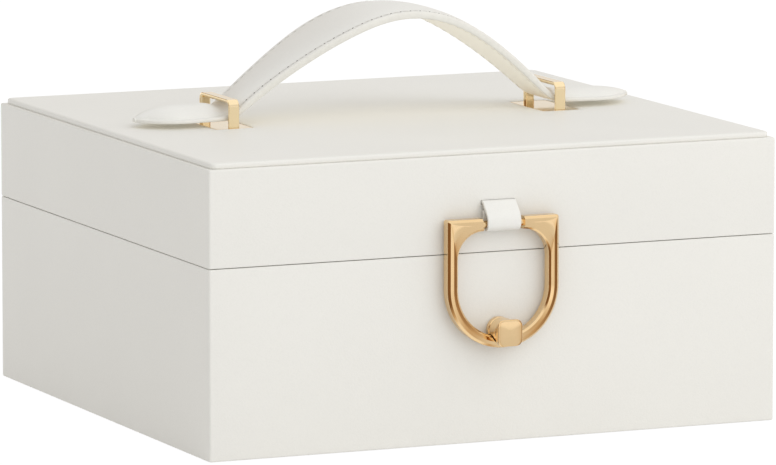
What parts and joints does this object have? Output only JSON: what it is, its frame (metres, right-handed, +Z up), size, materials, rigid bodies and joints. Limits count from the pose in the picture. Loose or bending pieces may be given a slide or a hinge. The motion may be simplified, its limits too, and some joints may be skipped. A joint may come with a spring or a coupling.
{
  "type": "jewellery box",
  "caption": "Leather-covered square jewellery box with a hinged lid, a strap handle in metal loops, a ring latch, a mirror and a lift-out tray.",
  "frame": {"origin": "centre of the footprint, on the underside of the bottom sheet", "axes": "+X to the right seen from the front, +Y from the front wall to the hinged back wall, +Z up"},
  "size_m": [0.28, 0.2789, 0.1862],
  "materials": {
    "leather": "off-white faux leather, fine grain, satin",
    "leather_edge": "cream painted cut edge",
    "gold": "polished pale rose gold plating",
    "steel": "plain plated steel",
    "fibreboard": "raw fibreboard",
    "velvet": "short-pile velvet, cream",
    "ribbon": "satin ribbon",
    "mirror_glass": "silvered glass",
    "felt": "thin felt"
  },
  "bodies": {
    "base": {"base_wrap": "leather", "base_front_board": "fibreboard", "base_back_board": "fibreboard", "base_left_board": "fibreboard", "base_right_board": "fibreboard", "base_floor_board": "fibreboard", "bottom_sheet": "felt", "base_lining": "velvet", "tray_rest_left": "velvet", "tray_rest_right": "velvet", "base_divider_long": "velvet", "base_divider_front": "velvet", "strike_plate": "steel", "hinge_base_leaf_left": "gold", "hinge_base_leaf_right": "gold", "hinge_pin_left": "gold", "hinge_pin_right": "gold", "hinge_base_screw_left": "gold", "hinge_base_screw_right": "gold"},
    "lid": {"lid_wrap": "leather", "lid_front_board": "fibreboard", "lid_back_board": "fibreboard", "lid_left_board": "fibreboard", "lid_right_board": "fibreboard", "lid_top_board": "fibreboard", "top_pad": "leather", "lid_lining": "velvet", "mirror_frame": "leather", "mirror": "mirror_glass", "loop_left": "gold", "loop_right": "gold", "plate_left": "gold", "plate_right": "gold", "loop_nut_left_1": "steel", "loop_nut_left_2": "steel", "loop_nut_right_1": "steel", "loop_nut_right_2": "steel", "tab_anchor": "leather_edge", "hinge_lid_leaf_left": "gold", "hinge_lid_leaf_right": "gold", "hinge_lid_screw_left": "gold", "hinge_lid_screw_right": "gold"},
    "handle": {"handle_strap": "leather"},
    "tab": {"latch_tab": "leather"},
    "ring": {"latch_ring": "gold", "ring_pin": "gold", "latch_barrel": "gold", "latch_magnet": "steel", "latch_knob": "gold"},
    "tray": {"tray_shell": "velvet", "tray_divider_long": "velvet", "tray_divider_rear": "velvet", "tray_divider_front": "velvet", "tray_pull_left": "ribbon", "tray_pull_right": "ribbon", "tray_ring_roll_1": "velvet", "tray_ring_roll_2": "velvet", "tray_ring_roll_3": "velvet", "tray_ring_roll_4": "velvet", "tray_ring_roll_5": "velvet"}
  },
  "joints": [
    {"name": "lid_hinge", "type": "hinge", "parent": "base", "child": "lid", "pos_m": [0, 0.1326, 0.087], "axis": [-1, 0, 0], "range_deg": [0, 100]},
    {"name": "handle_sway", "type": "hinge", "parent": "lid", "child": "handle", "pos_m": [0.0013, 0, 0.14], "axis": [1, 0, 0], "range_deg": [-2.5, 2.5]},
    {"name": "tab_flex", "type": "hinge", "parent": "lid", "child": "tab", "pos_m": [0.0005, -0.1305, 0.1107], "axis": [-1, 0, 0], "range_deg": [0, 20]},
    {"name": "ring_swing", "type": "hinge", "parent": "tab", "child": "ring", "pos_m": [0.0005, -0.1345, 0.1004], "axis": [-1, 0, 0], "range_deg": [0, 150]},
    {"name": "tray_lift", "type": "slide", "parent": "base", "child": "tray", "axis": [0, 0, 1], "range_m": [0, 0.028]}
  ]
}
